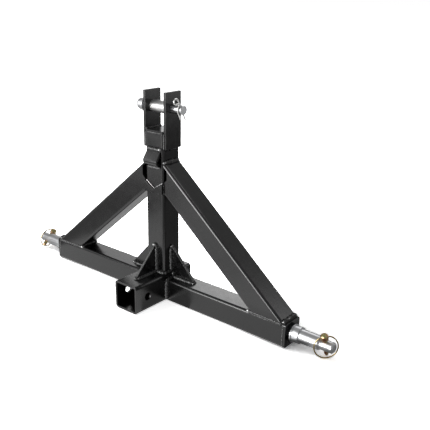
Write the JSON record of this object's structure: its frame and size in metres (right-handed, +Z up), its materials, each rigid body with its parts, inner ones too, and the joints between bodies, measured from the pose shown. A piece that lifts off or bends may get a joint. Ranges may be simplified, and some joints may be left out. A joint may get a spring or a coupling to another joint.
{
  "type": "three-point receiver hitch",
  "caption": "Welded tractor linkage hitch: square-tube A-frame with stepped lower pins, a top link clevis and a square receiver socket for a ball mount.",
  "frame": {"origin": "on the underside of the receiver tube, straight below the mast's axis, where the hitch rests", "axes": "+X along the cross bar to the right-hand lower pin, -Y out of the receiver's mouth, +Y towards the tractor, +Z up the mast"},
  "size_m": [0.8724, 0.172, 0.456],
  "materials": {
    "black_coat": "semi-gloss black powder coat",
    "zinc_pin": "bright zinc plate over turned steel",
    "bushing_steel": "bright turned steel",
    "washer_steel": "dark plain steel",
    "nut_steel": "plain steel",
    "clip_wire": "bright zinc plated spring wire",
    "yellow_zinc": "iridescent yellow zinc plate on forged steel",
    "ring_wire": "yellow zinc plated spring wire"
  },
  "bodies": {
    "frame": {"receiver_tube": "black_coat", "cross_bar_left": "black_coat", "cross_bar_right": "black_coat", "end_plate_left": "black_coat", "end_plate_right": "black_coat", "mast_tube": "black_coat", "mast_cap": "black_coat", "brace_left": "black_coat", "brace_right": "black_coat", "brace_tie_plate": "black_coat", "gusset_front": "black_coat", "gusset_left": "black_coat", "gusset_right": "black_coat", "chain_loop": "black_coat", "clevis_ear_left": "black_coat", "clevis_ear_right": "black_coat", "lower_pin_left": "zinc_pin", "lower_pin_right": "zinc_pin", "lock_washer_left": "washer_steel", "lock_washer_right": "washer_steel", "weld_nut_left": "nut_steel", "weld_nut_right": "nut_steel"},
    "top_pin": {"top_pin": "zinc_pin"},
    "top_bushing": {"top_bushing": "bushing_steel"},
    "hair_clip": {"hair_clip": "clip_wire"},
    "linch_pin_left": {"linch_pin_left": "yellow_zinc"},
    "linch_pin_right": {"linch_pin_right": "yellow_zinc"},
    "linch_ring_left": {"linch_ring_left": "ring_wire"},
    "linch_ring_right": {"linch_ring_right": "ring_wire"}
  },
  "joints": [
    {"name": "top_pin_play", "type": "slide", "parent": "frame", "child": "top_pin", "axis": [1, 0, 0], "range_m": [-0.0195, 0.013]},
    {"name": "hair_clip_pull", "type": "slide", "parent": "top_pin", "child": "hair_clip", "axis": [0, -0.4695, 0.8829], "range_m": [0, 0.045]},
    {"name": "bushing_turn", "type": "hinge", "parent": "frame", "child": "top_bushing", "pos_m": [0, 0, 0.4218], "axis": [1, 0, 0], "continuous": true},
    {"name": "linch_lift_left", "type": "slide", "parent": "frame", "child": "linch_pin_left", "axis": [0, 0.7547, 0.6561], "range_m": [0, 0.009]},
    {"name": "linch_lift_right", "type": "slide", "parent": "frame", "child": "linch_pin_right", "axis": [0, -0.3074, 0.9516], "range_m": [0, 0.004]},
    {"name": "ring_swing_left", "type": "hinge", "parent": "linch_pin_left", "child": "linch_ring_left", "pos_m": [-0.4155, 0.01509, 0.03852], "axis": [-0.1045, 0.6525, -0.7506], "range_deg": [0, 168]},
    {"name": "ring_swing_right", "type": "hinge", "parent": "linch_pin_right", "child": "linch_ring_right", "pos_m": [0.4155, -0.00615, 0.04443], "axis": [-0.7193, -0.661, -0.2135], "range_deg": [0, 162]}
  ]
}
